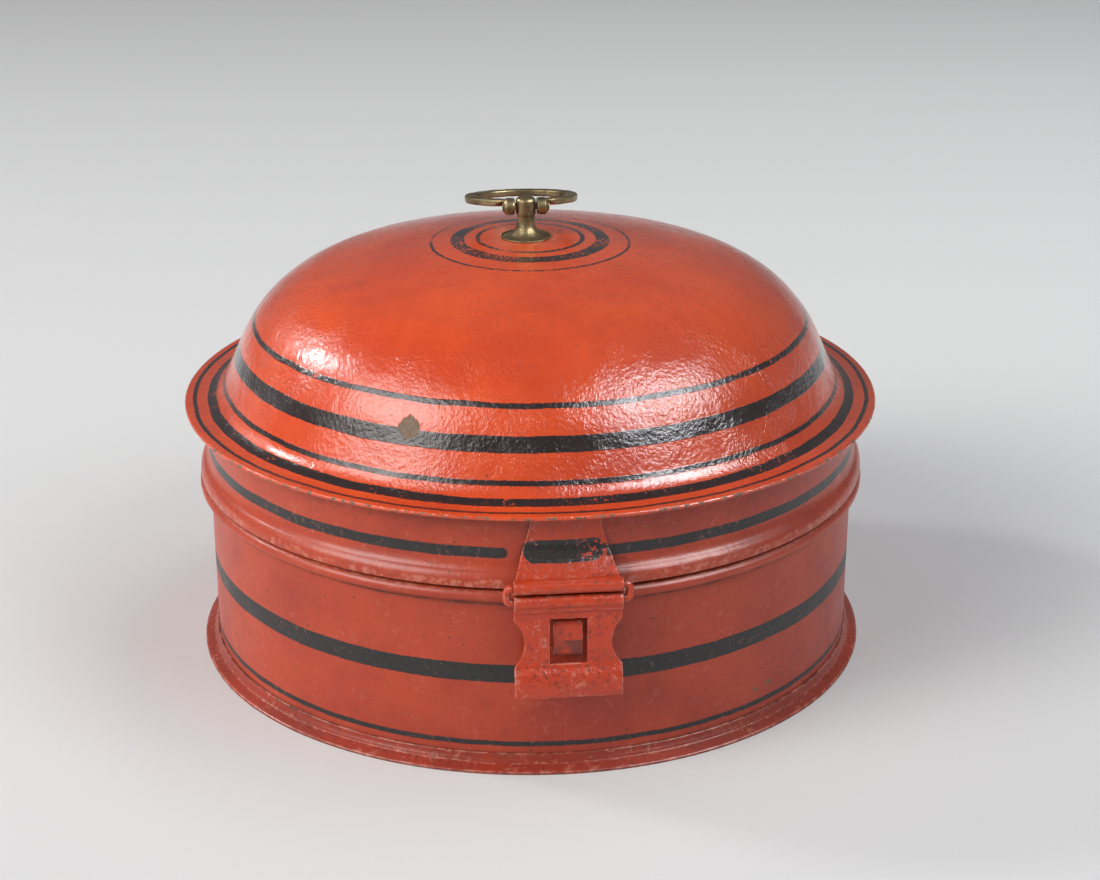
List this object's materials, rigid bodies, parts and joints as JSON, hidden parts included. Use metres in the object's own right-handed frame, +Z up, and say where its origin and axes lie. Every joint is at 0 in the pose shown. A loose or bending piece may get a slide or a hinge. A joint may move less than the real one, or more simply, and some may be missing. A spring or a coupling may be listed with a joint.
{
  "type": "flour sifter",
  "caption": "Round japanned tin with a domed hinged lid, front hasp over a staple, brass ring handle and a lift-out hoop sieve inside.",
  "frame": {"origin": "centre of the box's footprint, on the surface that the foot stands on", "axes": "+Z up along the tin's axis; the hasp is at -Y and the hinge at +Y"},
  "size_m": [0.1896, 0.194, 0.1243],
  "materials": {
    "gloss_lacquer": "glossy orange-red japanning with black lines, finely pebbled and chipped",
    "satin_lacquer": "satin brick-red japanning with black bands, worn at the edges",
    "old_brass": "brown tarnished brass, rubbed brighter on the edges",
    "bare_tin": "dull tinned sheet iron",
    "wire_cloth": "woven tinned wire"
  },
  "bodies": {
    "box": {"body_wall": "satin_lacquer", "body_collar": "bare_tin", "base_plate": "bare_tin", "foot_ring": "satin_lacquer", "sieve_ledge": "bare_tin", "staple": "satin_lacquer", "hinge_body_leaf": "satin_lacquer", "hinge_pin": "bare_tin"},
    "lid": {"lid_dome": "gloss_lacquer", "lid_skirt": "satin_lacquer", "hinge_lid_leaf": "satin_lacquer", "hasp_strap": "satin_lacquer", "handle_post": "old_brass", "handle_washer": "old_brass"},
    "link": {"hasp_link": "satin_lacquer"},
    "hasp": {"hasp_plate": "satin_lacquer"},
    "ring": {"handle_ring": "old_brass", "handle_pin": "old_brass"},
    "sieve": {"sieve_hoop": "bare_tin", "sieve_rim_wire": "bare_tin", "sieve_mesh": "wire_cloth", "sieve_clamp_ring": "bare_tin", "sieve_clips": "bare_tin"},
    "left_loop": {"sieve_loop_left": "bare_tin"},
    "right_loop": {"sieve_loop_right": "bare_tin"}
  },
  "joints": [
    {"name": "lid_hinge", "type": "hinge", "parent": "box", "child": "lid", "pos_m": [0, 0.0945, 0.05], "axis": [-1, 0, 0], "range_deg": [0, 105]},
    {"name": "link_swing", "type": "hinge", "parent": "lid", "child": "link", "pos_m": [0, -0.0955, 0.0529], "axis": [-1, 0, 0], "range_deg": [0, 80]},
    {"name": "hasp_swing", "type": "hinge", "parent": "link", "child": "hasp", "pos_m": [0, -0.0955, 0.0491], "axis": [-1, 0, 0], "range_deg": [-12, 95]},
    {"name": "ring_swing", "type": "hinge", "parent": "lid", "child": "ring", "pos_m": [-0.0011, 0, 0.1213], "axis": [1, 0, 0], "range_deg": [0, 198]},
    {"name": "sieve_lift", "type": "slide", "parent": "box", "child": "sieve", "axis": [0, 0, 1], "range_m": [0, 0.015]},
    {"name": "left_loop_swing", "type": "hinge", "parent": "sieve", "child": "left_loop", "pos_m": [-0.0779, 0, 0.049], "axis": [0, -1, 0], "range_deg": [0, 165]},
    {"name": "right_loop_swing", "type": "hinge", "parent": "sieve", "child": "right_loop", "pos_m": [0.0779, 0, 0.049], "axis": [0, 1, 0], "range_deg": [0, 165]}
  ]
}
